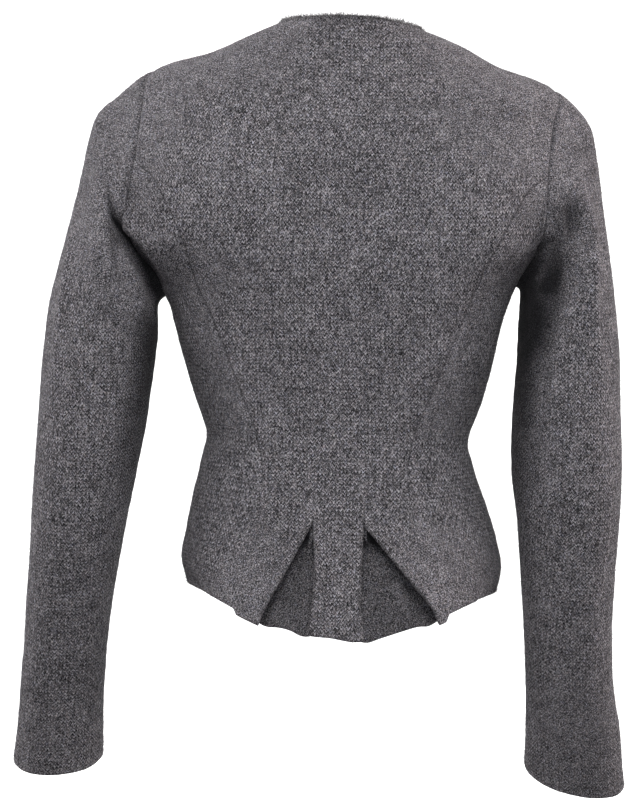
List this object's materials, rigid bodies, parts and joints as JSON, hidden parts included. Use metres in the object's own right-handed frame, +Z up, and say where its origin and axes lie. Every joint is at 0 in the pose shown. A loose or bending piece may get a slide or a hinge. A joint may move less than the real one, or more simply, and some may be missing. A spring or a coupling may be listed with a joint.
{
  "type": "trachten cardigan",
  "caption": "Short fitted collarless jacket-cardigan of grey boiled wool with princess seams, set-in sleeves and a flared back hem with two open inverted pleats, hollow, as worn.",
  "frame": {"origin": "on the garment's centre line between the shoulders, at the height of the neckline, where the wearer holds it up", "axes": "+Z up, the garment's back faces -Y and its front +Y, the wearer's right arm is at +X"},
  "size_m": [0.5455, 0.2462, 0.6642],
  "materials": {
    "boiled_wool": "heathered grey boiled wool, matt, felted, slightly hairy",
    "pleat_wool": "the same wool, in the pleats",
    "button": "plain dark horn-like button, satin"
  },
  "bodies": {
    "root": {"back_center": "boiled_wool", "side_back_left": "boiled_wool", "side_back_right": "boiled_wool", "front_left": "boiled_wool", "front_right": "boiled_wool", "sleeve_left": "boiled_wool", "sleeve_right": "boiled_wool", "pleat_left": "pleat_wool", "pleat_right": "pleat_wool", "button_1": "button", "button_2": "button", "button_3": "button", "button_4": "button", "button_5": "button", "button_6": "button"}
  },
  "joints": []
}
